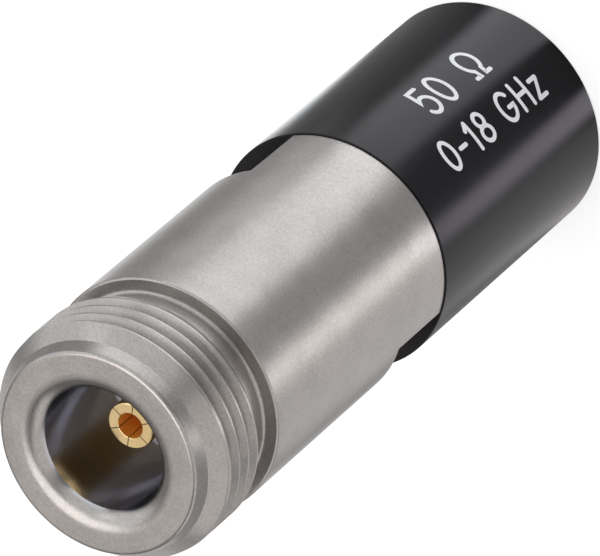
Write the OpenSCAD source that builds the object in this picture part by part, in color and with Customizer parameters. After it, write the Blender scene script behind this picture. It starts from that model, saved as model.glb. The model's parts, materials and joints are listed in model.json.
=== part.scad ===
// Coaxial 50 ohm load with a type-N jack: a turned steel body that holds a matched resistor stack,
// closed at the rear by a black sleeve. It stands on the sleeve's rear face with its mouth up.
// All sizes are in millimetres, and every piece turns about the Z axis.

/* [Barrel] */
// Diameter of the plain barrel
barrel_d = 15.7; // [15:0.1:18]
// Chamfer on the barrel's front edge
barrel_edge = 0.12; // [0.06:0.02:0.5]
// Width across the two spanner flats
flats_w = 14; // [13:0.1:14.8]
// Length of the flats in front of the sleeve
flats_l = 5.2; // [3:0.1:9]

/* [Coupling thread] */
// Outside diameter of the coupling thread, left plain here
thread_d = 15.75; // [15:0.05:17]
// Depth of the barrel's front shoulder behind the front face
shoulder_depth = 7.73; // [7:0.01:10]
// Diameter at the root of the thread relief
relief_d = 14.2; // [13:0.1:14.8]
// Length of the relief, from the shoulder to the last full thread
relief_l = 2.3; // [1.8:0.1:3]
// Fillet between the relief and the shoulder
relief_fillet = 0.3; // [0.1:0.05:0.5]
// Length of the cone that leads the nut on to the thread
lead_in_l = 0.88; // [0.4:0.02:1.2]
// Diameter at the foot of the tapered nose in front of the thread
nose_d = 14; // [13:0.1:14.4]
// Diameter of the nose at the front face, before its edge is rounded
nose_tip_d = 13.3; // [12.4:0.1:14]
// Length of the nose
nose_l = 0.92; // [0.8:0.02:1.6]
// Radius of the nose's outer edge
nose_edge = 0.3; // [0.1:0.05:0.5]

/* [Coaxial mouth] */
// Bore of the mouth, in front of the mating plane
mouth_d = 8.06; // [7.6:0.02:8.6]
// Radius of the mouth's rounded rim
mouth_edge = 1.25; // [0.4:0.05:1.6]
// Depth of the mating plane behind the front face
mate_depth = 9.14; // [8:0.02:11]
// Bore of the air line behind the mating plane
line_d = 7; // [6.4:0.05:7.6]
// Length of the air line, from the mating plane to the bead
line_l = 3.66; // [2:0.02:8]

/* [Contact] */
// Diameter of the centre line: contact, conductor and resistor
conductor_d = 3.04; // [2.8:0.02:3.4]
// Depth of the contact's tip behind the front face
contact_recess = 3.84; // [2:0.02:5]
// Diameter of the hole that takes the mating pin
pin_hole_d = 1.66; // [1.2:0.02:2]
// Depth of that hole
pin_hole_l = 5; // [3:0.1:6]
// Number of saw slots in the contact
slot_count = 6; // [3:1:8]
// Width of a saw slot
slot_w = 0.12; // [0.05:0.01:0.3]
// Depth of a saw slot
slot_l = 4.4; // [2:0.1:4.8]
// Turn of the first slot from the X axis
slot_turn = 5; // [0:1:60]
// Chamfer on the contact's outer edge
contact_edge = 0.1; // [0.05:0.01:0.2]

/* [Bead and centre conductor] */
// Bore of the cavity behind the bead's step
cavity_d = 10; // [8.6:0.1:11]
// Thickness of the bead
bead_l = 2.4; // [1.5:0.1:4]
// Diameter of the stud through the bead
stud_d = 1.6; // [1.2:0.05:2]
// Length of the stud inside the contact
stud_grip = 2.3; // [1:0.1:3]
// Length of the centre conductor behind the bead
conductor_l = 4.7; // [3.5:0.1:8]
// Length of the ring that clamps the bead
clamp_ring_l = 3; // [1:0.1:5]

/* [Resistor] */
// Length of the resistive film on the rod
rod_l = 11; // [6:0.1:16]
// Diameter of the rod's ends, inside the caps
rod_end_d = 2.5; // [2:0.05:2.6]
// Length of each rod end
rod_end_l = 1.5; // [0.8:0.1:2.5]
// Thickness of the front cap's end wall
cap_web = 0.8; // [0.4:0.1:1.5]
// Diameter of the front cap's pin
cap_pin_d = 1.2; // [0.8:0.05:1.8]
// Length of the front cap's pin
cap_pin_l = 1.8; // [1:0.1:2.6]
// Length of the rear cap
rear_cap_l = 4.3; // [3:0.1:6]

/* [Ground end] */
// Length of the horn's throat on the rear cap
throat_l = 0.6; // [0.3:0.1:2]
// Diameter of the collet's seat at the horn's rear face
seat_d = 6; // [5:0.1:7]
// Diameter at the bottom of the collet's seat
seat_tip_d = 4; // [3.6:0.1:4.8]
// Depth of the collet's seat
seat_l = 1.2; // [0.8:0.1:2]
// Thickness of the collet's flange
collet_l = 2.5; // [1.5:0.1:4]
// Number of slots between the collet's fingers
finger_count = 4; // [3:1:8]
// Width of a slot between two fingers
finger_slot_w = 0.3; // [0.1:0.05:0.5]
// Sheet thickness of the spring washer
washer_t = 0.5; // [0.2:0.05:0.7]
// Height of the spring washer as fitted
washer_h = 0.8; // [0.75:0.05:1.5]
// Hole of the spring washer
washer_hole_d = 5.2; // [4:0.1:7]
// Length of the lock ring
lock_ring_l = 4; // [2:0.1:6]
// Hole of the lock ring
lock_ring_hole_d = 5; // [3:0.1:7]
// Width of the slot for the lock ring's driver
driver_slot_w = 1.2; // [0.8:0.1:2]
// Depth of that slot
driver_slot_depth = 1; // [0.5:0.1:1.8]
// Length of body left behind the lock ring
tail_l = 0.9; // [0.3:0.1:3]

/* [Sleeve] */
// Length of the sleeve
sleeve_l = 20.1; // [14:0.1:26]
// Height by which the sleeve stands out from the barrel
sleeve_proud = 0.1; // [0:0.05:0.5]
// Wall of the sleeve
sleeve_wall = 1.15; // [0.8:0.05:1.5]
// Thickness of the sleeve's closed end
sleeve_floor = 1.6; // [0.8:0.1:3]
// Radius of the sleeve's rear edge
sleeve_edge = 0.2; // [0.05:0.05:0.6]
// Chamfer on the sleeve's front edge
sleeve_rim = 0.08; // [0.02:0.02:0.3]
// Room between the sleeve's closed end and the body
end_gap = 3.4; // [0.2:0.1:6]
// Chamfer on the rear end of the body's spigot
spigot_edge = 0.4; // [0.1:0.1:0.8]

/* [Fits] */
// Clearance on the radius of pieces that fit in one another
fit = 0.02; // [0.01:0.01:0.05]
// Clearance at the blind end of a pin, stud or seat
end_play = 0.2; // [0.1:0.05:0.4]

/* [Hidden] */
$fn = 96;
// Reach of a cut past the face it opens
over = 0.05;
// Cones that the horn's exponential bore is turned from
flare_steps = 12;

// Radii
barrel_r = barrel_d / 2;
thread_r = thread_d / 2;
relief_r = relief_d / 2;
nose_r = nose_d / 2;
nose_tip_r = nose_tip_d / 2;
mouth_r = mouth_d / 2;
line_r = line_d / 2;
conductor_r = conductor_d / 2;
cavity_r = cavity_d / 2;
stack_r = cavity_r - fit;
throat_r = conductor_r + fit;
seat_r = seat_d / 2;
seat_tip_r = seat_tip_d / 2;
sleeve_r = barrel_r + sleeve_proud;
sleeve_bore_r = sleeve_r - sleeve_wall;
spigot_r = sleeve_bore_r - fit;

// Heights, from the sleeve's rear face up to the front face
spigot_z = sleeve_floor + end_gap;
lock_ring_z = spigot_z + tail_l;
washer_z = lock_ring_z + lock_ring_l;
collet_z = washer_z + washer_h;
horn_z = collet_z + collet_l;
seat_z = horn_z + seat_l;
rod_z = seat_z + throat_l;
rod_top_z = rod_z + rod_l;
front_cap_l = rod_end_l + end_play + cap_web;
conductor_z = rod_top_z + front_cap_l;
bead_z = conductor_z + conductor_l;
horn_top_z = bead_z - clamp_ring_l;
bead_top_z = bead_z + bead_l;
mate_z = bead_top_z + line_l;
face_z = mate_z + mate_depth;
tip_z = face_z - contact_recess;
nose_z = face_z - nose_l;
thread_top_z = nose_z - lead_in_l;
shoulder_z = face_z - shoulder_depth;
thread_z = shoulder_z + relief_l;
runout_l = thread_r - relief_r;
collet_nose_l = seat_l - end_play;

// Bore radius of the horn at a share u of the film's length: the line's impedance falls in step with
// the resistance that is left, so the radius grows exponentially from the throat to the line
function flare_r(u) = throat_r * pow(line_r / throat_r, u);

// Radius of the collet's seat at a height above the horn's rear face
function seat_r_at(h) = seat_r + (seat_tip_r - seat_r) * h / seat_l;

// The space between a corner and the circle that touches both of its sides, which are given as
// directions: what a rounded edge loses, or what a fillet adds
module corner_piece(at, side_a, side_b, radius) {
    a = side_a / norm(side_a);
    b = side_b / norm(side_b);
    middle = (a + b) / norm(a + b);
    half_angle = acos(a * b) / 2;
    centre = at + middle * radius / sin(half_angle);
    reach = radius / tan(half_angle);
    difference() {
        polygon([at - middle * over, at + a * reach, centre, at + b * reach]);
        translate(centre)
            circle(radius);
    }
}

// A plain rod along Z
module rod(radius, z, top) {
    translate([0, 0, z])
        cylinder(r = radius, h = top - z);
}

// A blind hole along Z that opens at its top face, or at its bottom face when top lies below z
module hole(radius, z, top) {
    if (top > z)
        rod(radius, z, top + over);
    else
        rod(radius, top - over, z);
}

// A plain ring along Z
module ring(outer_r, inner_r, z, top) {
    difference() {
        rod(outer_r, z, top);
        rod(inner_r, z - over, top + over);
    }
}

// Radial saw cuts, equally spaced from the angle turn
module saw_slots(count, width, reach, z, top, turn) {
    for (i = [0:count - 1])
        rotate([0, 0, turn + i * 360 / count])
            translate([0, -width / 2, z])
                cube([reach, width, top - z]);
}

// Half section of the turned body, with its stepped bore
module body_section() {
    difference() {
        union() {
            polygon([
                [cavity_r, spigot_z],
                [spigot_r - spigot_edge, spigot_z],
                [spigot_r, spigot_z + spigot_edge],
                [spigot_r, sleeve_l],
                [barrel_r, sleeve_l],
                [barrel_r, shoulder_z - barrel_edge],
                [barrel_r - barrel_edge, shoulder_z],
                [relief_r, shoulder_z],
                [relief_r, thread_z - runout_l],
                [thread_r, thread_z],
                [thread_r, thread_top_z],
                [nose_r, nose_z],
                [nose_tip_r, face_z],
                [mouth_r, face_z],
                [mouth_r, mate_z],
                [line_r, mate_z],
                [line_r, bead_top_z],
                [cavity_r, bead_top_z]
            ]);
            corner_piece([relief_r, shoulder_z], [1, 0], [0, 1], relief_fillet);
        }
        corner_piece([nose_tip_r, face_z], [-1, 0], [nose_r - nose_tip_r, -nose_l], nose_edge);
        corner_piece([mouth_r, face_z], [1, 0], [0, -1], mouth_edge);
    }
}

module connector_body() {
    color([0.66, 0.65, 0.63])
        difference() {
            rotate_extrude()
                body_section();
            for (side = [-1, 1])
                translate([side * (flats_w + barrel_d) / 2, 0, sleeve_l + flats_l / 2])
                    cube([barrel_d, 2 * barrel_d, flats_l], center = true);
        }
}

module contact_socket() {
    color([0.92, 0.79, 0.46])
        difference() {
            union() {
                rod(conductor_r, bead_top_z, tip_z - contact_edge);
                translate([0, 0, tip_z - contact_edge])
                    cylinder(r1 = conductor_r, r2 = conductor_r - contact_edge, h = contact_edge);
            }
            hole(pin_hole_d / 2, tip_z - pin_hole_l, tip_z);
            hole(stud_d / 2 + fit, bead_top_z + stud_grip + end_play, bead_top_z);
            saw_slots(slot_count, slot_w, conductor_d, tip_z - slot_l, tip_z + over, slot_turn);
        }
}

module support_bead() {
    color([0.86, 0.83, 0.74])
        ring(stack_r, stud_d / 2 + fit, bead_z, bead_top_z);
}

module centre_conductor() {
    color([0.88, 0.74, 0.42])
        difference() {
            union() {
                rod(conductor_r, conductor_z, bead_z);
                rod(stud_d / 2, bead_z - over, bead_top_z + stud_grip);
            }
            hole(cap_pin_d / 2 + fit, conductor_z + cap_pin_l + end_play, conductor_z);
        }
}

module bead_clamp_ring() {
    color([0.80, 0.68, 0.38])
        ring(stack_r, line_r, horn_top_z, bead_z);
}

module matching_horn() {
    color([0.78, 0.66, 0.36])
        rotate_extrude()
            polygon(concat(
                [
                    [seat_r, horn_z],
                    [stack_r, horn_z],
                    [stack_r, horn_top_z],
                    [line_r, horn_top_z]
                ],
                [for (i = [flare_steps:-1:0])
                    [flare_r(i / flare_steps), rod_z + rod_l * i / flare_steps]],
                [
                    [throat_r, seat_z],
                    [seat_tip_r, seat_z]
                ]
            ));
}

module resistor_rod() {
    color([0.30, 0.27, 0.25]) {
        rod(conductor_r, rod_z, rod_top_z);
        rod(rod_end_d / 2, rod_z - rod_end_l, rod_z + over);
        rod(rod_end_d / 2, rod_top_z - over, rod_top_z + rod_end_l);
    }
}

module resistor_front_cap() {
    color([0.82, 0.82, 0.80])
        difference() {
            union() {
                rod(conductor_r, rod_top_z, conductor_z);
                rod(cap_pin_d / 2, conductor_z - over, conductor_z + cap_pin_l);
            }
            hole(rod_end_d / 2 + fit, rod_top_z + rod_end_l + end_play, rod_top_z);
        }
}

module resistor_rear_cap() {
    color([0.82, 0.82, 0.80])
        difference() {
            rod(conductor_r, rod_z - rear_cap_l, rod_z);
            hole(rod_end_d / 2 + fit, rod_z - rod_end_l - end_play, rod_z);
        }
}

module ground_collet() {
    color([0.84, 0.70, 0.38])
        difference() {
            rotate_extrude()
                polygon([
                    [throat_r, collet_z],
                    [stack_r, collet_z],
                    [stack_r, horn_z],
                    [seat_r - fit, horn_z],
                    [seat_r_at(collet_nose_l) - fit, horn_z + collet_nose_l],
                    [throat_r, horn_z + collet_nose_l]
                ]);
            saw_slots(finger_count, finger_slot_w, seat_r, collet_z + collet_l / 2, seat_z, 0);
        }
}

module spring_washer() {
    color([0.55, 0.56, 0.58])
        rotate_extrude()
            polygon([
                [washer_hole_d / 2, collet_z - washer_t],
                [stack_r, washer_z],
                [stack_r, washer_z + washer_t],
                [washer_hole_d / 2, collet_z]
            ]);
}

module lock_ring() {
    color([0.70, 0.69, 0.67])
        difference() {
            ring(stack_r, lock_ring_hole_d / 2, lock_ring_z, washer_z);
            saw_slots(2, driver_slot_w, cavity_d, lock_ring_z - over, lock_ring_z + driver_slot_depth, 0);
        }
}

module cover_sleeve() {
    color([0.13, 0.13, 0.14])
        rotate_extrude()
            difference() {
                polygon([
                    [0, 0],
                    [sleeve_r, 0],
                    [sleeve_r, sleeve_l - sleeve_rim],
                    [sleeve_r - sleeve_rim, sleeve_l],
                    [sleeve_bore_r, sleeve_l],
                    [sleeve_bore_r, sleeve_floor],
                    [0, sleeve_floor]
                ]);
                corner_piece([sleeve_r, 0], [-1, 0], [0, 1], sleeve_edge);
            }
}

connector_body();
contact_socket();
support_bead();
centre_conductor();
bead_clamp_ring();
matching_horn();
resistor_rod();
resistor_front_cap();
resistor_rear_cap();
ground_collet();
spring_washer();
lock_ring();
cover_sleeve();
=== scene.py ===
import json
import math
import bmesh
import bpy
import numpy as np
from mathutils import Matrix, Vector


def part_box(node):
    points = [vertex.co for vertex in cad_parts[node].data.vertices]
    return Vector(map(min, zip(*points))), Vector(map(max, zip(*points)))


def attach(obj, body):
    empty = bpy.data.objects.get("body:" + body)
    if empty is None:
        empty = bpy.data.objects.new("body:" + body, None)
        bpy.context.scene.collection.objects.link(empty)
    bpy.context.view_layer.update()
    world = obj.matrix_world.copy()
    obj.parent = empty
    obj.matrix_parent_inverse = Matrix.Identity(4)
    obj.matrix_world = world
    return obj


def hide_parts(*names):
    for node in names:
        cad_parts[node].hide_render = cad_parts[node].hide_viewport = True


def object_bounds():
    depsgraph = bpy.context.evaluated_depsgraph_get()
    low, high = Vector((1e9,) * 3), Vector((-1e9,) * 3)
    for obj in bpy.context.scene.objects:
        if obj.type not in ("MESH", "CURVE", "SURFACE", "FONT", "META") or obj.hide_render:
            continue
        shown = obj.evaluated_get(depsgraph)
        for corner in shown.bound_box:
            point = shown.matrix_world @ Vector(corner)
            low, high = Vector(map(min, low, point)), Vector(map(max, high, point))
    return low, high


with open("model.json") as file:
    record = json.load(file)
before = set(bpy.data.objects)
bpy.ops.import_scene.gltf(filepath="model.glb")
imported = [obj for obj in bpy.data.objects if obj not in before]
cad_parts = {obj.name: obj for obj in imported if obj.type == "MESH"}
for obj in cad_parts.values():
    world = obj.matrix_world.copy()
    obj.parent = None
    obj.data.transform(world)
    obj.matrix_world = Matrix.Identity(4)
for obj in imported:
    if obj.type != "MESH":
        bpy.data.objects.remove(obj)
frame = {"nodes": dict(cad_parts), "record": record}
cad_low, cad_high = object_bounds()

# Viewpoint. A long lens looks down on the standing load, with a spanner flat at each side, and is rolled
# so that the mouth points to the picture's lower left.
mm = 0.001
view_azimuth = math.radians(1.741)
view_elevation = math.radians(49.5)
view_roll = math.radians(130.807)
view_distance = 525.59 * mm
aim_offset = Vector((0.059, -0.114, 0.0)) * mm
sensor_width = 36.0
lens_length = 517.77
near_clip = 0.05
far_clip = 10.0

level_right = Vector((math.cos(view_azimuth), math.sin(view_azimuth), 0.0))
towards_camera = Vector((
    math.sin(view_azimuth) * math.cos(view_elevation),
    -math.cos(view_azimuth) * math.cos(view_elevation),
    math.sin(view_elevation),
))
level_up = towards_camera.cross(level_right)
camera_up = level_up * math.cos(view_roll) + level_right * math.sin(view_roll)
camera_right = camera_up.cross(towards_camera)
aim_point = (cad_low + cad_high) / 2 + aim_offset

camera_data = bpy.data.cameras.new("viewpoint")
camera_data.sensor_width = sensor_width
camera_data.lens = lens_length
camera_data.clip_start = near_clip
camera_data.clip_end = far_clip
camera = bpy.data.objects.new("viewpoint", camera_data)
bpy.context.scene.collection.objects.link(camera)
camera_turn = Matrix((camera_right, camera_up, towards_camera)).transposed()
camera.matrix_world = Matrix.Translation(aim_point + towards_camera * view_distance) @ camera_turn.to_4x4()
bpy.context.scene.camera = camera
bpy.context.scene.view_settings.view_transform = "Standard"


# Floor. A wide sheet of pale card, on which the load stands with its sleeve down. The viewer sees it white,
# with the load's soft shadow. Metal mirrors it white behind the load, and round the load panes of it glow
# like a light table, which the metal mirrors as long bands.
floor_half = 3.0
floor_pale = (0.448, 0.456, 0.466, 1.0)
white_lift = 0.72
mirrored_lift = 0.36
mirrored_front = Vector((4.4, 1.6, 0.0)) * mm
white_sides = ((-0.842, 0.540, 0.0), (0.717, 0.697, 0.0))
white_fade = 3.5 * mm
plain = (1.0, 1.0, 1.0)
warm = (1.0, 0.965, 0.945)
cool = (0.965, 0.99, 1.0)
violet = (1.0, 0.955, 1.03)
pane_centre = Vector((0.0, -4.8, 0.0)) * mm
pane_fade = 6.0
end_fade = 0.15
# Each pane has its first and last azimuth, its near and far distance, its level and its colour.
pane_rows = (
    (-77, -25, 1, 21, 1.60, cool),
    (-102, -72, 21, 60, 0.34, cool),
    (-72, -12, 21, 60, 0.96, cool),
    (-74, -6, 60, 400, 1.40, cool),
    (41, 61, 1, 21, 2.30, violet),
    (39, 60, 21, 60, 1.40, warm),
    (32, 50, 60, 400, 1.40, warm),
    (66, 125, 1, 21, 0.54, warm),
    (66, 125, 21, 60, 0.42, warm),
    (-172, -134, 6, 24, 1.25, cool),
    (-166, -138, 24, 60, 0.42, cool),
)

floor_mesh = bpy.data.meshes.new("floor")
floor_corners = np.array([(-1, -1, 0), (1, -1, 0), (1, 1, 0), (-1, 1, 0)], float) * floor_half
floor_mesh.from_pydata(floor_corners.tolist(), [], [(0, 1, 2, 3)])
floor = bpy.data.objects.new("floor", floor_mesh)
bpy.context.scene.collection.objects.link(floor)
floor_material = bpy.data.materials.new("pale_card")
floor_material.use_nodes = True
floor_tree = floor_material.node_tree
floor_shader = floor_tree.nodes["Principled BSDF"]
floor_shader.inputs["Base Color"].default_value = floor_pale
floor_shader.inputs["Roughness"].default_value = 1.0
floor_shader.inputs["Specular IOR Level"].default_value = 0.0
floor_shader.inputs["Emission Strength"].default_value = 1.0


def value_node(tree, operation, *inputs):
    """A Math node with each input given as a socket or a number."""
    node = tree.nodes.new("ShaderNodeMath")
    node.operation = operation
    for socket, given in zip(node.inputs, inputs):
        if isinstance(given, (int, float)):
            socket.default_value = given
        else:
            tree.links.new(given, socket)
    return node.outputs[0]


def vector_node(tree, operation, *inputs, output="Vector"):
    """A Vector Math node with each input given as a socket or a vector."""
    node = tree.nodes.new("ShaderNodeVectorMath")
    node.operation = operation
    for socket, given in zip(node.inputs, inputs):
        if isinstance(given, (tuple, Vector)):
            socket.default_value = given
        else:
            tree.links.new(given, socket)
    return node.outputs[output]


def soft_step(tree, value, start, end):
    """Zero up to the start and one from the end, with a smooth rise between them."""
    node = tree.nodes.new("ShaderNodeMapRange")
    node.interpolation_type = "SMOOTHSTEP"
    node.inputs["From Min"].default_value = start
    node.inputs["From Max"].default_value = end
    tree.links.new(value, node.inputs["Value"])
    return node.outputs["Result"]


def white_area(front):
    """A mask of the floor behind a front corner, one along both sides that lead back from it, which
    fades to zero a little way outside them."""
    from_front = vector_node(floor_tree, "SUBTRACT", floor_place, front)
    mask = 1.0
    for inward in white_sides:
        inside = vector_node(floor_tree, "DOT_PRODUCT", from_front, inward, output="Value")
        mask = value_node(floor_tree, "MULTIPLY", soft_step(floor_tree, inside, -white_fade, 0.0), mask)
    return mask


def pane(first, second, near, far, level, colour):
    """The glow of a pane between two azimuths in degrees, positive to the picture's right, and between two
    distances in millimetres. Both are taken from a point in front of the axis, where a round wall seems to
    gather what it mirrors, so that the pane shows on the wall as a straight band."""
    sides = value_node(
        floor_tree, "SUBTRACT",
        soft_step(floor_tree, pane_turn, first - pane_fade, first + pane_fade),
        soft_step(floor_tree, pane_turn, second - pane_fade, second + pane_fade),
    )
    ends = value_node(
        floor_tree, "SUBTRACT",
        soft_step(floor_tree, pane_distance, near * (1 - end_fade) * mm, near * (1 + end_fade) * mm),
        soft_step(floor_tree, pane_distance, far * (1 - end_fade) * mm, far * (1 + end_fade) * mm),
    )
    shape = value_node(floor_tree, "MULTIPLY", sides, ends)
    lit = floor_tree.nodes.new("ShaderNodeVectorMath")
    lit.operation = "SCALE"
    lit.inputs["Vector"].default_value = [level * share for share in colour]
    floor_tree.links.new(shape, lit.inputs["Scale"])
    return lit.outputs["Vector"]


floor_place = floor_tree.nodes.new("ShaderNodeTexCoord").outputs["Object"]
from_centre = vector_node(floor_tree, "SUBTRACT", floor_place, pane_centre)
pane_distance = vector_node(floor_tree, "LENGTH", from_centre, output="Value")
pane_split = floor_tree.nodes.new("ShaderNodeSeparateXYZ")
to_viewer = vector_node(floor_tree, "MULTIPLY", from_centre, (-1.0, -1.0, 0.0))
floor_tree.links.new(to_viewer, pane_split.inputs[0])
turn_in_radians = value_node(floor_tree, "ARCTAN2", pane_split.outputs["X"], pane_split.outputs["Y"])
pane_turn = value_node(floor_tree, "DEGREES", turn_in_radians)
glow = (0.0, 0.0, 0.0)
for pane_row in pane_rows:
    glow = vector_node(floor_tree, "ADD", glow, pane(*pane_row))

floor_ray = floor_tree.nodes.new("ShaderNodeLightPath")
not_seen = value_node(floor_tree, "SUBTRACT", 1.0, floor_ray.outputs["Is Camera Ray"])
mirrored = value_node(
    floor_tree, "MAXIMUM", floor_ray.outputs["Is Glossy Ray"], floor_ray.outputs["Is Transmission Ray"],
)
mirrored_white = value_node(floor_tree, "MULTIPLY", mirrored, white_area(mirrored_front))
white = value_node(
    floor_tree, "ADD",
    value_node(floor_tree, "MULTIPLY", floor_ray.outputs["Is Camera Ray"], white_lift),
    value_node(floor_tree, "MULTIPLY", mirrored_white, mirrored_lift),
)
panes = vector_node(floor_tree, "MULTIPLY", glow, not_seen)
floor_tree.links.new(vector_node(floor_tree, "ADD", panes, white), floor_shader.inputs["Emission Color"])
floor_material.cycles.emission_sampling = "NONE"
floor_mesh.materials.append(floor_material)


# Studio light. A dim tent, a lamp nearly overhead and a little behind the load, a soft box behind it, two
# broad ones in front with a gap between them, and one at each side towards the back.
tent_level = 0.20
rosy = (1.0, 0.94, 0.91)
viewer_side = -90

world = bpy.data.worlds.new("tent")
world.use_nodes = True
world.node_tree.nodes["Background"].inputs["Color"].default_value = (*plain, 1.0)
world.node_tree.nodes["Background"].inputs["Strength"].default_value = tent_level
bpy.context.scene.world = world


def far_lamp(name, azimuth, elevation, spread, level, colour):
    """A round lamp far off, whose disc covers the angle spread. Its azimuth runs from the viewer's side,
    positive to the picture's right. Level is the light on a face turned to it."""
    data = bpy.data.lights.new(name, "SUN")
    data.energy = level
    data.angle = math.radians(spread)
    data.color = colour
    turn = math.radians(viewer_side - azimuth)
    lift = math.radians(elevation)
    towards = Vector((math.cos(turn) * math.cos(lift), math.sin(turn) * math.cos(lift), math.sin(lift)))
    lamp = bpy.data.objects.new(name, data)
    lamp.rotation_mode = "QUATERNION"
    lamp.rotation_quaternion = towards.to_track_quat("Z", "Y")
    bpy.context.scene.collection.objects.link(lamp)


far_lamp("high_lamp", azimuth=-142, elevation=79, spread=48, level=1.05, colour=warm)
far_lamp("back_box", azimuth=180, elevation=46, spread=50, level=0.24, colour=rosy)
far_lamp("front_left_box", azimuth=-47, elevation=32, spread=70, level=0.78, colour=cool)
far_lamp("front_right_box", azimuth=56, elevation=32, spread=70, level=0.70, colour=warm)
far_lamp("left_box", azimuth=-112, elevation=28, spread=60, level=0.66, colour=cool)
far_lamp("right_box", azimuth=112, elevation=18, spread=40, level=0.29, colour=warm)


# Connector body. One piece of stainless steel, turned all over with a rounded mouth, a coupling
# thread and a stepped bore, and milled with two spanner flats in front of the sleeve.
body_low, body_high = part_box("connector_body")
sleeve_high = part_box("cover_sleeve")[1]
mounts = {mount["name"]: mount for mount in frame["record"]["mounts"]}
front_z = body_high.z / mm
spigot_z = body_low.z / mm
sleeve_front_z = sleeve_high.z / mm
thread_r = mounts["coupling_thread"]["dims"]["r_mm"]
flat_half = mounts["spanner_flats"]["pos_m"][0] / mm
mating_z = mounts["coaxial_mouth"]["pos_m"][2] / mm
bead_front_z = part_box("support_bead")[1].z / mm
barrel_r = 7.85
barrel_edge = 0.12
barrel_tail = 0.06
barrel_round = 0.10
shoulder_depth = 7.73
shoulder_round = 0.05
shoulder_z = front_z - shoulder_depth
flats_length = 5.2
flats_top_z = sleeve_front_z + flats_length
relief_r = 6.84
relief_fillet = 0.28
relief_length = 2.3
runout_z = shoulder_z + relief_length - (thread_r - relief_r)
nose_r = 7.0
nose_tip_r = 6.65
nose_edge = 0.30
nose_length = 0.92
nose_z = front_z - nose_length
lead_in_length = 0.88
lead_in_z = nose_z - lead_in_length
mouth_r = 4.03
mouth_edge = 1.42
mouth_slope = math.radians(28)
mouth_steps = 15
line_r = 3.5
line_edge = 0.08
cavity_r = 5.0
spigot_r = 6.78
spigot_edge = 0.4
inch = 25.4
turns_per_inch = 24
thread_pitch = inch / turns_per_inch
thread_depth = 0.5413 * thread_pitch
crest_half = thread_pitch / 16
flank_lean = math.radians(30)
root_round = 0.03
crest_round = 0.008
thread_crest_z = 43.31
thread_crest_turn = math.radians(-88.25)
thread_full = 2.25
thread_start = 2.65
thread_rows = 48
flat_columns = 28
round_columns = 68
hold_share = 0.15
least_cosine = 1e-6


def unit(vector):
    """The vector at length one."""
    return vector / np.linalg.norm(vector)


def rounded_path(corners):
    """The open outline (r, z) through corners given as (r, z, radius, steps). A corner with steps is
    replaced by the arc of its radius that touches both of its sides, at equal steps of angle, with one
    more point a little way along each side to hold that side's shading."""
    place = np.array([corner[:2] for corner in corners], float)
    path = [place[:1]]
    for before, here, after, (_, _, radius, steps) in zip(place, place[1:], place[2:], corners[1:]):
        if steps == 0:
            path.append(here[None])
            continue
        back_side = unit(before - here)
        next_side = unit(after - here)
        half_angle = math.acos(back_side @ next_side) / 2
        centre = here + unit(back_side + next_side) * radius / math.sin(half_angle)
        first = here + back_side * radius / math.tan(half_angle)
        last = here + next_side * radius / math.tan(half_angle)
        sweep = math.pi - 2 * half_angle
        share = np.linspace(0, 1, steps + 1)[:, None]
        arc = np.sin((1 - share) * sweep) * (first - centre) + np.sin(share * sweep) * (last - centre)
        hold = radius * hold_share
        path.append(np.vstack([
            first + back_side * hold,
            centre + arc / math.sin(sweep),
            last + next_side * hold,
        ]))
    path.append(place[-1:])
    return np.vstack(path)


def turned_points(radius, height, turn):
    """Points at a radius and a height, turned about the Z axis by an angle, as one flat list of rows."""
    radius, height, turn = np.broadcast_arrays(radius, height, turn)
    return np.stack([radius * np.cos(turn), radius * np.sin(turn), height], -1).reshape(-1, 3)


def grid_quads(rows, columns):
    """Quads of a grid whose points are stored row by row and whose last column joins the first."""
    row, column = np.meshgrid(np.arange(rows - 1), np.arange(columns), indexing="ij")
    after = (column + 1) % columns
    return np.stack([
        row * columns + column,
        row * columns + after,
        (row + 1) * columns + after,
        (row + 1) * columns + column,
    ], -1)


def closed_piece(name, points, faces, sharp_angle=20):
    """A mesh object in metres from points in millimetres: coincident points are merged, which closes
    seams and poles, all faces are turned outwards, and edges over the sharp angle stay crisp."""
    mesh = bpy.data.meshes.new(name)
    mesh.from_pydata((points * mm).tolist(), [], faces)
    shell = bmesh.new()
    shell.from_mesh(mesh)
    same_place = 1e-7
    bmesh.ops.remove_doubles(shell, verts=shell.verts, dist=same_place)
    bmesh.ops.dissolve_degenerate(shell, edges=shell.edges, dist=same_place)
    bmesh.ops.recalc_face_normals(shell, faces=shell.faces)
    shell.to_mesh(mesh)
    shell.free()
    mesh.shade_smooth()
    mesh.set_sharp_from_angle(angle=math.radians(sharp_angle))
    piece = bpy.data.objects.new(name, mesh)
    bpy.context.scene.collection.objects.link(piece)
    return piece


def soft_least(a, b, blend):
    """The lesser of two heights, with the edge where they cross rounded over about the blend."""
    return -blend * np.logaddexp(-a / blend, -b / blend)


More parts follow.
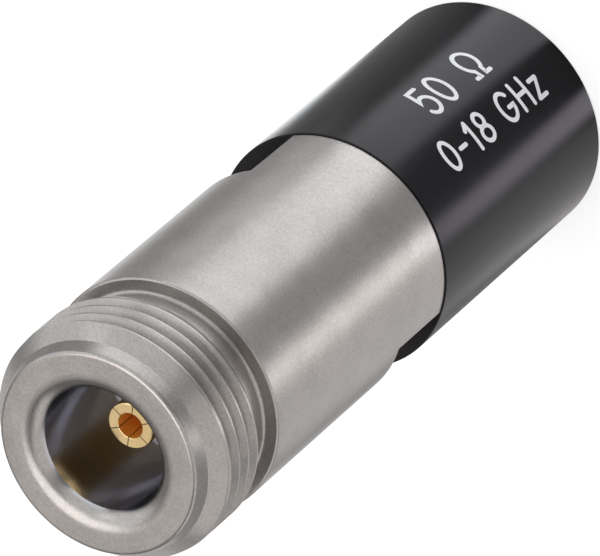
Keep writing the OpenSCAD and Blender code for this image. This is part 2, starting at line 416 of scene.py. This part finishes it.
def thread_grid(turn):
    """The threaded length as rows that climb one pitch a turn. A row keeps its place on the thread's
    section: a flat crest, two straight flanks at thirty degrees and a rounded root. The groove rises out
    of its depth in the part of a turn where it would meet the lead-in cone. The radius is the least of
    that section, the run-out cone and the lead-in cone, and rows stop at the two end rings."""
    step = thread_pitch / thread_rows
    crest_z = thread_crest_z + thread_pitch * (turn[0] - thread_crest_turn) / (2 * math.pi)
    first = math.floor((runout_z - thread_pitch - crest_z) / step)
    last = math.ceil((nose_z - crest_z) / step)
    row = np.arange(first, last + 1)[:, None]
    climb = thread_pitch * (turn - turn[0]) / (2 * math.pi)
    height = np.clip(crest_z + row * step + climb, runout_z, nose_z)
    off_crest = np.abs((row / thread_rows + 0.5) % 1 - 0.5) * thread_pitch
    flank = (off_crest - crest_half) / math.tan(flank_lean)
    depth = soft_least(np.maximum(flank, 0), thread_depth, root_round)
    turns = row // thread_rows + (turn - turn[0]) / (2 * math.pi)
    share = np.clip((thread_start - turns) / (thread_start - thread_full), 0, 1)
    section = thread_r - np.maximum(depth, 0) * share ** 2 * (3 - 2 * share)
    runout = relief_r + (height - runout_z)
    lead_in = nose_r + (nose_z - height) * (thread_r - nose_r) / (nose_z - lead_in_z)
    radius = soft_least(section, soft_least(runout, lead_in, crest_round), crest_round)
    radius = np.where(height <= runout_z, relief_r, np.where(height >= nose_z, nose_r, radius))
    return radius, height


def thread_quads(rows, columns):
    """Quads of the thread's rows. The last column joins the first one a pitch higher."""
    row, column = np.meshgrid(np.arange(rows - 1), np.arange(columns), indexing="ij")
    turned = column + 1 == columns
    after = np.where(turned, 0, column + 1)
    lift = np.where(turned, thread_rows, 0)
    low = np.minimum(row + lift, rows - 1)
    high = np.minimum(row + 1 + lift, rows - 1)
    quads = np.stack([
        row * columns + column,
        low * columns + after,
        high * columns + after,
        (row + 1) * columns + column,
    ], -1)
    return quads.reshape(-1, 4)


# Columns of points stand on each edge of a flat.
flat_edge = math.acos(flat_half / barrel_r)
body_turn = np.concatenate([
    np.linspace(-flat_edge, flat_edge, flat_columns, endpoint=False),
    np.linspace(flat_edge, math.pi - flat_edge, round_columns, endpoint=False),
    np.linspace(math.pi - flat_edge, math.pi + flat_edge, flat_columns, endpoint=False),
    np.linspace(math.pi + flat_edge, 2 * math.pi - flat_edge, round_columns, endpoint=False),
])

# The barrel in front of the flats, the part that the flats cut, and the spigot with the bore.
barrel_path = rounded_path([
    (relief_r, runout_z, 0, 0),
    (relief_r, shoulder_z, relief_fillet, 6),
    (barrel_r - barrel_edge, shoulder_z, shoulder_round, 3),
    (barrel_r, shoulder_z - barrel_edge, barrel_round, 3),
    (barrel_r, flats_top_z, 0, 0),
])
flats_path = rounded_path([
    (barrel_r, flats_top_z, 0, 0),
    (barrel_r, sleeve_front_z + barrel_tail, 0, 0),
    (barrel_r - barrel_tail, sleeve_front_z, 0, 0),
])
mouth_lift = np.linspace(mouth_slope, math.pi / 2, mouth_steps)
mouth_centre_r = mouth_r + mouth_edge * math.cos(mouth_slope)
mouth_centre_z = front_z - mouth_edge
mouth_arc = [
    (mouth_centre_r - mouth_edge * math.cos(lift), mouth_centre_z + mouth_edge * math.sin(lift), 0, 0)
    for lift in mouth_lift
]
bore_path = rounded_path([
    (spigot_r, sleeve_front_z, 0, 0),
    (spigot_r, spigot_z + spigot_edge, 0, 0),
    (spigot_r - spigot_edge, spigot_z, 0, 0),
    (cavity_r, spigot_z, 0, 0),
    (cavity_r, bead_front_z, 0, 0),
    (line_r, bead_front_z, 0, 0),
    (line_r, mating_z, line_edge, 3),
    (mouth_r, mating_z, 0, 0),
    *mouth_arc,
    (nose_tip_r, front_z, nose_edge, 10),
    (nose_r, nose_z, 0, 0),
])
flat_r = flat_half / np.maximum(np.abs(np.cos(body_turn)), least_cosine)
turned_path = np.vstack([barrel_path, flats_path, bore_path])
turned_r = np.repeat(turned_path[:, :1], len(body_turn), 1)
cut_rows = slice(len(barrel_path), len(barrel_path) + len(flats_path))
turned_r[cut_rows] = np.minimum(turned_r[cut_rows], flat_r)
thread_radius, thread_height = thread_grid(body_turn)
turned = turned_points(turned_r, turned_path[:, 1:], body_turn)
threaded = turned_points(thread_radius, thread_height, body_turn)
body_faces = np.vstack([
    grid_quads(len(turned_path), len(body_turn)).reshape(-1, 4),
    thread_quads(len(thread_height), len(body_turn)) + len(turned),
])
body = closed_piece("connector_body_turned", np.vstack([turned, threaded]), body_faces.tolist())


def lathe_marks_group():
    """Tool marks of a lathe: noise that changes along the radius and the height and hardly at all
    around the axis, so that rings run round every turned face, and a fine even grain."""
    ring_wander = 0.15
    clouds_per_mm = 0.45
    tree = bpy.data.node_groups.new("lathe_marks", "ShaderNodeTree")
    for name in ("Rings per mm", "Grains per mm"):
        tree.interface.new_socket(name, in_out="INPUT", socket_type="NodeSocketFloat")
    for name in ("Rings", "Grain", "Cloud", "Radius"):
        tree.interface.new_socket(name, in_out="OUTPUT", socket_type="NodeSocketFloat")
    given = tree.nodes.new("NodeGroupInput")
    result = tree.nodes.new("NodeGroupOutput")
    place = tree.nodes.new("ShaderNodeTexCoord").outputs["Object"]
    in_mm = tree.nodes.new("ShaderNodeVectorMath")
    in_mm.operation = "SCALE"
    in_mm.inputs["Scale"].default_value = 1 / mm
    tree.links.new(place, in_mm.inputs[0])
    split = tree.nodes.new("ShaderNodeSeparateXYZ")
    tree.links.new(in_mm.outputs[0], split.inputs[0])
    across = value_node(tree, "MULTIPLY", split.outputs["X"], split.outputs["X"])
    along = value_node(tree, "MULTIPLY", split.outputs["Y"], split.outputs["Y"])
    radius = value_node(tree, "SQRT", value_node(tree, "ADD", across, along))
    ring_place = tree.nodes.new("ShaderNodeCombineXYZ")
    for value, axis in ((radius, "X"), (split.outputs["Z"], "Y")):
        scaled = value_node(tree, "MULTIPLY", value, given.outputs["Rings per mm"])
        tree.links.new(scaled, ring_place.inputs[axis])
    tree.links.new(value_node(tree, "MULTIPLY", split.outputs["X"], ring_wander), ring_place.inputs["Z"])
    rings = tree.nodes.new("ShaderNodeTexNoise")
    rings.inputs["Scale"].default_value = 1.0
    rings.inputs["Detail"].default_value = 3.0
    tree.links.new(ring_place.outputs[0], rings.inputs["Vector"])
    grain = tree.nodes.new("ShaderNodeTexNoise")
    grain.inputs["Detail"].default_value = 2.0
    tree.links.new(in_mm.outputs[0], grain.inputs["Vector"])
    tree.links.new(given.outputs["Grains per mm"], grain.inputs["Scale"])
    cloud = tree.nodes.new("ShaderNodeTexNoise")
    cloud.inputs["Scale"].default_value = clouds_per_mm
    cloud.inputs["Detail"].default_value = 4.0
    tree.links.new(in_mm.outputs[0], cloud.inputs["Vector"])
    tree.links.new(rings.outputs["Fac"], result.inputs["Rings"])
    tree.links.new(grain.outputs["Fac"], result.inputs["Grain"])
    tree.links.new(cloud.outputs["Fac"], result.inputs["Cloud"])
    tree.links.new(radius, result.inputs["Radius"])
    return tree


lathe_marks = lathe_marks_group()
tone_span = (0.35, 0.65)
polish_span = (0.25, 0.75)
ring_share_of_bump = 0.25
bore_fade = 1.04


def turned_finish(name, pale, deep, smooth, rough, rings, grains, bump, speckle=0.3, metallic=1.0, ior=1.5,
                  tint=(1.0, 1.0, 1.0), bore=None):
    """A turned surface: the colour drifts between two tones in soft clouds and a fine speckle, the
    roughness follows the tool's rings, and rings and grain together raise the bump. Bump is its depth in
    millimetres. A bore is given as a radius in millimetres, with a colour of painted light that stands
    inside it for the light the hollow gathers, and the roughness that the surface has inside it."""
    material = bpy.data.materials.new(name)
    material.use_nodes = True
    tree = material.node_tree
    shader = tree.nodes["Principled BSDF"]
    shader.inputs["Metallic"].default_value = metallic
    shader.inputs["IOR"].default_value = ior
    shader.inputs["Specular Tint"].default_value = (*tint, 1.0)
    marks = tree.nodes.new("ShaderNodeGroup")
    marks.node_tree = lathe_marks
    marks.inputs["Rings per mm"].default_value = rings
    marks.inputs["Grains per mm"].default_value = grains
    tone = tree.nodes.new("ShaderNodeMix")
    tone.data_type = "RGBA"
    tone.inputs["A"].default_value = (*deep, 1.0)
    tone.inputs["B"].default_value = (*pale, 1.0)
    cloudy = value_node(tree, "MULTIPLY", marks.outputs["Cloud"], 1 - speckle)
    speckled = value_node(tree, "MULTIPLY", marks.outputs["Grain"], speckle)
    spread = tree.nodes.new("ShaderNodeMapRange")
    spread.inputs["From Min"].default_value = tone_span[0]
    spread.inputs["From Max"].default_value = tone_span[1]
    tree.links.new(value_node(tree, "ADD", cloudy, speckled), spread.inputs["Value"])
    tree.links.new(spread.outputs["Result"], tone.inputs["Factor"])
    colour = tone.outputs["Result"]
    polish = tree.nodes.new("ShaderNodeMapRange")
    polish.inputs["From Min"].default_value = polish_span[0]
    polish.inputs["From Max"].default_value = polish_span[1]
    polish.inputs["To Min"].default_value = smooth
    polish.inputs["To Max"].default_value = rough
    tree.links.new(marks.outputs["Rings"], polish.inputs["Value"])
    roughness = polish.outputs["Result"]
    # Inside a bore the base colour is painted light: a given tone stands in for the light that the hollow
    # gathers.
    if bore:
        bore_radius, painted_bore_light, bore_roughness = bore
        inside = tree.nodes.new("ShaderNodeMapRange")
        inside.inputs["From Min"].default_value = bore_radius * bore_fade
        inside.inputs["From Max"].default_value = bore_radius
        tree.links.new(marks.outputs["Radius"], inside.inputs["Value"])
        painted_bore_tone = tree.nodes.new("ShaderNodeMix")
        painted_bore_tone.data_type = "RGBA"
        painted_bore_tone.inputs["B"].default_value = (*painted_bore_light, 1.0)
        tree.links.new(inside.outputs["Result"], painted_bore_tone.inputs["Factor"])
        tree.links.new(colour, painted_bore_tone.inputs["A"])
        colour = painted_bore_tone.outputs["Result"]
        bore_polish = tree.nodes.new("ShaderNodeMix")
        bore_polish.inputs["B"].default_value = bore_roughness
        tree.links.new(inside.outputs["Result"], bore_polish.inputs["Factor"])
        tree.links.new(roughness, bore_polish.inputs["A"])
        roughness = bore_polish.outputs["Result"]
    tree.links.new(colour, shader.inputs["Base Color"])
    tree.links.new(roughness, shader.inputs["Roughness"])
    relief = tree.nodes.new("ShaderNodeBump")
    relief.inputs["Strength"].default_value = 1.0
    relief.inputs["Distance"].default_value = bump * mm
    ring_relief = value_node(tree, "MULTIPLY", marks.outputs["Rings"], ring_share_of_bump)
    marked = value_node(tree, "ADD", ring_relief, marks.outputs["Grain"])
    tree.links.new(marked, relief.inputs["Height"])
    tree.links.new(relief.outputs["Normal"], shader.inputs["Normal"])
    return material


satin_steel = turned_finish(
    "satin_steel",
    pale=(0.492, 0.468, 0.451), deep=(0.381, 0.362, 0.348),
    smooth=0.27, rough=0.35, rings=9.0, grains=6.5, bump=0.0040, speckle=0.6,
    # Inside the mouth a lighter, bluish tone is painted light for light mirrored down the bore; the lower
    # roughness is the bore's smoother finish.
    bore=(mouth_r, (0.61, 0.605, 0.64), 0.18),
)
body.data.materials.append(satin_steel)
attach(body, "root")
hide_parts("connector_body")


# Contact socket. A gold-plated tube of spring bronze on the centre line, sawn from its tip into six
# fingers that close on the mating pin, and screwed to the centre conductor through the bead.
contact_low, contact_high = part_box("contact_socket")
contact_base_z = contact_low.z / mm
tip_z = contact_high.z / mm
contact_r = contact_high.x / mm
pin_r = mounts["pin_socket"]["dims"]["r_mm"]
pin_hole_z = tip_z - mounts["pin_socket"]["dims"]["length_mm"]
stud_hole_r = 0.82
stud_hole_depth = 2.5
stud_hole_z = contact_base_z + stud_hole_depth
slot_half = 0.03
slot_depth = 4.4
slot_floor_z = tip_z - slot_depth
slot_turn = math.radians(5)
tip_round = 0.10
pin_lead_in = 0.05
drill_point = 0.4
finger_count = 6
finger_columns = 13

contact_path = rounded_path([
    (0, stud_hole_z, 0, 0),
    (stud_hole_r, stud_hole_z, 0, 0),
    (stud_hole_r, contact_base_z, 0, 0),
    (contact_r, contact_base_z, 0, 0),
    (contact_r, slot_floor_z, 0, 0),
    (contact_r, tip_z, tip_round, 5),
    (pin_r, tip_z, pin_lead_in, 4),
    (pin_r, slot_floor_z, 0, 0),
    (pin_r, pin_hole_z, 0, 0),
    (0, pin_hole_z - drill_point, 0, 0),
])


def slotted_tube(path):
    """A turned outline sawn lengthways. Every row of points is split into fingers, and a finger's end
    columns keep half a saw's width from the cut's middle plane at every radius. Between the two rows at
    the cut's floor the faces across a cut are left out, and each cut gets two walls and a floor."""
    radius, height = path[:, :1], path[:, 1:]
    share = np.linspace(-1, 1, finger_columns)
    half_pitch = math.pi / finger_count
    reach = half_pitch - np.arcsin(slot_half / np.maximum(radius, pin_r))
    finger = np.repeat(np.arange(finger_count), finger_columns)
    turn = slot_turn + half_pitch * (2 * finger + 1) + reach * np.tile(share, finger_count)
    width = finger_count * finger_columns
    outer, inner = np.flatnonzero(np.isclose(path[:, 1], slot_floor_z))
    quads = grid_quads(len(path), width)
    across_cut = np.zeros(quads.shape[:2], bool)
    across_cut[outer:inner, finger_columns - 1::finger_columns] = True
    faces = quads[~across_cut].tolist()
    wall_rows = np.arange(outer, inner + 1) * width
    for i in range(finger_count):
        start = i * finger_columns
        end = start + finger_columns - 1
        after = (end + 1) % width
        faces.append((wall_rows + start).tolist())
        faces.append((wall_rows[::-1] + end).tolist())
        faces.append([outer * width + end, outer * width + after, inner * width + after, inner * width + end])
    return turned_points(radius, height, turn), faces


contact = closed_piece("contact_socket_slotted", *slotted_tube(contact_path))
gold_plate = turned_finish(
    "gold_plate",
    pale=(0.95, 0.73, 0.39), deep=(0.92, 0.69, 0.34),
    smooth=0.14, rough=0.22, rings=20.0, grains=14.0, bump=0.0006,
    # Inside the pin hole a deep orange is painted light, standing in for the glow of light bouncing round the
    # gold hole.
    bore=(pin_r, (1.0, 0.62, 0.15), 0.78),
)
contact.data.materials.append(gold_plate)
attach(contact, "root")
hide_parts("contact_socket")


# Support bead. A turned disc of engineering plastic that holds the centre line on the axis and seals
# the stack; its front face is the floor of the mouth's air line.
def dress(node, material):
    """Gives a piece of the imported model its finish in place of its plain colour."""
    mesh = frame["nodes"][node].data
    mesh.materials.clear()
    mesh.materials.append(material)


dress("support_bead", turned_finish(
    "bead_plastic",
    pale=(0.74, 0.68, 0.60), deep=(0.66, 0.60, 0.52),
    smooth=0.35, rough=0.50, rings=8.0, grains=6.0, bump=0.003, metallic=0.0, ior=1.6,
))


# Centre conductor. A gold-plated pin behind the bead, with a stud that goes through the bead into the
# contact and a hole at its rear for the resistor's front cap.
dress("centre_conductor", turned_finish(
    "gold_conductor",
    pale=(0.86, 0.66, 0.34), deep=(0.80, 0.60, 0.29),
    smooth=0.25, rough=0.38, rings=14.0, grains=10.0, bump=0.0015,
))


# Outer stack. The ring that clamps the bead, the horn whose bore narrows along the resistor and the
# slotted collet that grounds it are turned from brass and pushed into the body from the rear.
turned_brass = turned_finish(
    "turned_brass",
    pale=(0.76, 0.58, 0.29), deep=(0.66, 0.48, 0.22),
    smooth=0.28, rough=0.45, rings=7.0, grains=8.0, bump=0.003,
)
for stack_piece in ("bead_clamp_ring", "matching_horn", "ground_collet"):
    dress(stack_piece, turned_brass)


# Resistor. A ceramic rod with a baked resistive film, and a silvered metal cap pushed on each end, through
# which the current enters and leaves the film.
dress("resistor_rod", turned_finish(
    "film_ceramic",
    pale=(0.11, 0.10, 0.09), deep=(0.07, 0.06, 0.055),
    smooth=0.45, rough=0.65, rings=5.0, grains=12.0, bump=0.004, metallic=0.0,
))
silver_cap = turned_finish(
    "silver_cap",
    pale=(0.82, 0.81, 0.78), deep=(0.72, 0.70, 0.66),
    smooth=0.25, rough=0.40, rings=10.0, grains=10.0, bump=0.002,
)
for cap in ("resistor_front_cap", "resistor_rear_cap"):
    dress(cap, silver_cap)


# Rear clamping. A conical spring washer, blued by its heat treatment, and a steel ring with a driver
# slot that screws in behind it and keeps the stack pressed together.
dress("spring_washer", turned_finish(
    "spring_steel",
    pale=(0.36, 0.37, 0.40), deep=(0.26, 0.26, 0.30),
    smooth=0.30, rough=0.45, rings=4.0, grains=9.0, bump=0.003,
))
dress("lock_ring", satin_steel)


# Cover sleeve. A cup turned from aluminium and anodised black, pressed over the body's spigot; its
# closed end is the foot that the load stands on.
sleeve_r = sleeve_high.x / mm
sleeve_bore_r = 6.80
sleeve_floor_z = 1.6
foot_round = 0.20
rim_round = 0.08
sleeve_columns = 192
sleeve_path = rounded_path([
    (0, 0, 0, 0),
    (sleeve_r, 0, foot_round, 6),
    (sleeve_r, sleeve_front_z, rim_round, 4),
    (sleeve_bore_r, sleeve_front_z, 0, 0),
    (sleeve_bore_r, sleeve_floor_z, 0, 0),
    (0, sleeve_floor_z, 0, 0),
])
sleeve_turn = np.linspace(0, 2 * math.pi, sleeve_columns, endpoint=False)
sleeve = closed_piece(
    "cover_sleeve_cup",
    turned_points(sleeve_path[:, :1], sleeve_path[:, 1:], sleeve_turn),
    grid_quads(len(sleeve_path), sleeve_columns).reshape(-1, 4).tolist(),
)
black_anodised = turned_finish(
    "black_anodised",
    pale=(0.0032, 0.0029, 0.0041), deep=(0.0022, 0.0020, 0.0030),
    smooth=0.19, rough=0.26, rings=7.0, grains=7.0, bump=0.0016, metallic=0.0, ior=1.36,
    tint=(0.98, 0.94, 1.0),
)
sleeve.data.materials.append(black_anodised)
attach(sleeve, "root")
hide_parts("cover_sleeve")


# Rating. The load's resistance and frequency range, printed on the sleeve in white ink with strokes of
# one width; it reads from the mouth towards the closed end.
ink_half = 0.15
ink_height = 0.008
ink_sink = 0.006
cap_steps = 6
least_mitre = 0.45
rating_middle_z = 9.7


def arc(centre_x, centre_y, reach_x, reach_y, start, end, steps=24):
    """Points on an ellipse between two angles in degrees."""
    angle = np.radians(np.linspace(start, end, steps + 1))
    return np.stack([centre_x + reach_x * np.cos(angle), centre_y + reach_y * np.sin(angle)], -1)


def line(*corners, steps=8):
    """Points at equal steps along the straight lines between corners, close enough to bend round the
    sleeve."""
    corners = np.array(corners, float)
    share = np.linspace(0, 1, steps, endpoint=False)[:, None]
    runs = corners[:-1, None] + (corners[1:] - corners[:-1])[:, None] * share
    return np.vstack([runs.reshape(-1, 2), corners[-1:]])


# Strokes of each sign in a box one unit high, with the box's width.
signs = {
    "0": (0.60, [arc(0.30, 0.50, 0.28, 0.50, 0, 360, 40)]),
    "1": (0.42, [line((0.06, 0.76), (0.26, 1.0)), line((0.26, 1.0), (0.26, 0.0))]),
    "5": (0.60, [np.vstack([
        line((0.53, 1.0), (0.13, 1.0), (0.07, 0.52)),
        arc(0.29, 0.33, 0.28, 0.33, 125, -145, 28),
    ])]),
    "8": (0.60, [arc(0.30, 0.76, 0.22, 0.24, 0, 360, 30), arc(0.30, 0.26, 0.28, 0.26, 0, 360, 30)]),
    "-": (0.52, [line((0.08, 0.45), (0.44, 0.45))]),
    "G": (0.80, [np.vstack([
        arc(0.40, 0.50, 0.36, 0.50, 42, 340, 34),
        line((0.75, 0.44), (0.46, 0.44)),
    ])]),
    "H": (0.74, [
        line((0.08, 0.0), (0.08, 1.0)),
        line((0.66, 0.0), (0.66, 1.0)),
        line((0.08, 0.52), (0.66, 0.52)),
    ]),
    "z": (0.54, [
        line((0.05, 0.66), (0.47, 0.66)),
        line((0.47, 0.66), (0.05, 0.0)),
        line((0.05, 0.0), (0.49, 0.0)),
    ]),
    "ohm": (0.84, [np.vstack([
        line((0.06, 0.0), (0.28, 0.0)),
        arc(0.42, 0.58, 0.34, 0.42, 242, -62, 34),
        line((0.56, 0.0), (0.78, 0.0)),
    ])]),
    " ": (0.40, []),
}


def stroke_shell(path):
    """A thin bar of ink along a path (x, y): its section is a flat rectangle one stroke wide, mitred at
    the path's corners, and at a free end it narrows as the square root of a circle's rest to a round tip."""
    closed = np.allclose(path[0], path[-1])
    step = np.diff(path, axis=0)
    step /= np.linalg.norm(step, axis=1, keepdims=True)
    before = np.vstack([step[-1:] if closed else step[:1], step])
    after = np.vstack([step, step[:1] if closed else step[-1:]])
    along = before + after
    along /= np.linalg.norm(along, axis=1, keepdims=True)
    side = np.stack([-along[:, 1], along[:, 0]], -1)
    mitre = 1 / np.maximum(np.sum(along * after, 1, keepdims=True), least_mitre)
    middle, half = path, np.full((len(path), 1), ink_half) * mitre
    if not closed:
        angle = np.linspace(0, math.pi / 2, cap_steps + 1)[1:, None]
        head = path[:1] - along[:1] * ink_half * np.sin(angle[::-1])
        tail = path[-1:] + along[-1:] * ink_half * np.sin(angle)
        middle = np.vstack([head, path, tail])
        half = np.vstack([ink_half * np.cos(angle[::-1]), half, ink_half * np.cos(angle)])
        side = np.vstack([np.repeat(side[:1], cap_steps, 0), side, np.repeat(side[-1:], cap_steps, 0)])
    left, right = middle + side * half, middle - side * half
    flat = np.stack([left, right, right, left], 1)
    lift = np.array([ink_height, ink_height, -ink_sink, -ink_sink])[:, None]
    return np.concatenate([flat, np.broadcast_to(lift, (len(middle), 4, 1))], -1)


def printed_line(text, cap_height, spacing, middle_z, base_turn):
    """Points and faces of a line of signs. Across the line runs down the axis from the mouth, its height
    runs round the sleeve from the base angle, and the ink's height adds to the sleeve's radius."""
    shells = []
    pen = 0.0
    for name in text:
        box_width, strokes = signs[name]
        for stroke in strokes:
            shells.append(stroke_shell((stroke + (pen, 0.0)) * cap_height))
        pen += box_width + spacing
    line_length = (pen - spacing) * cap_height
    points, faces, count = [], [], 0
    for shell in shells:
        x, y, lift = shell[..., 0], shell[..., 1], shell[..., 2]
        points.append(turned_points(
            sleeve_r + lift, middle_z + line_length / 2 - x, math.radians(base_turn) + y / sleeve_r,
        ))
        faces.append(grid_quads(len(shell), 4).reshape(-1, 4) + count)
        count += shell.shape[0] * 4
    return np.vstack(points), np.vstack(faces)


upper_points, upper_faces = printed_line(
    ["5", "0", " ", "ohm"],
    cap_height=2.30, spacing=0.24, middle_z=rating_middle_z, base_turn=-72.3,
)
lower_points, lower_faces = printed_line(
    ["0", "-", "1", "8", " ", "G", "H", "z"],
    cap_height=1.95, spacing=0.22, middle_z=rating_middle_z, base_turn=-97.3,
)
rating = closed_piece(
    "rating_print",
    np.vstack([upper_points, lower_points]),
    np.vstack([upper_faces, lower_faces + len(upper_points)]).tolist(),
)
white_ink = turned_finish(
    "white_ink",
    pale=(0.82, 0.82, 0.84), deep=(0.74, 0.74, 0.77),
    smooth=0.50, rough=0.65, rings=4.0, grains=12.0, bump=0.002, metallic=0.0,
)
rating.data.materials.append(white_ink)
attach(rating, "root")
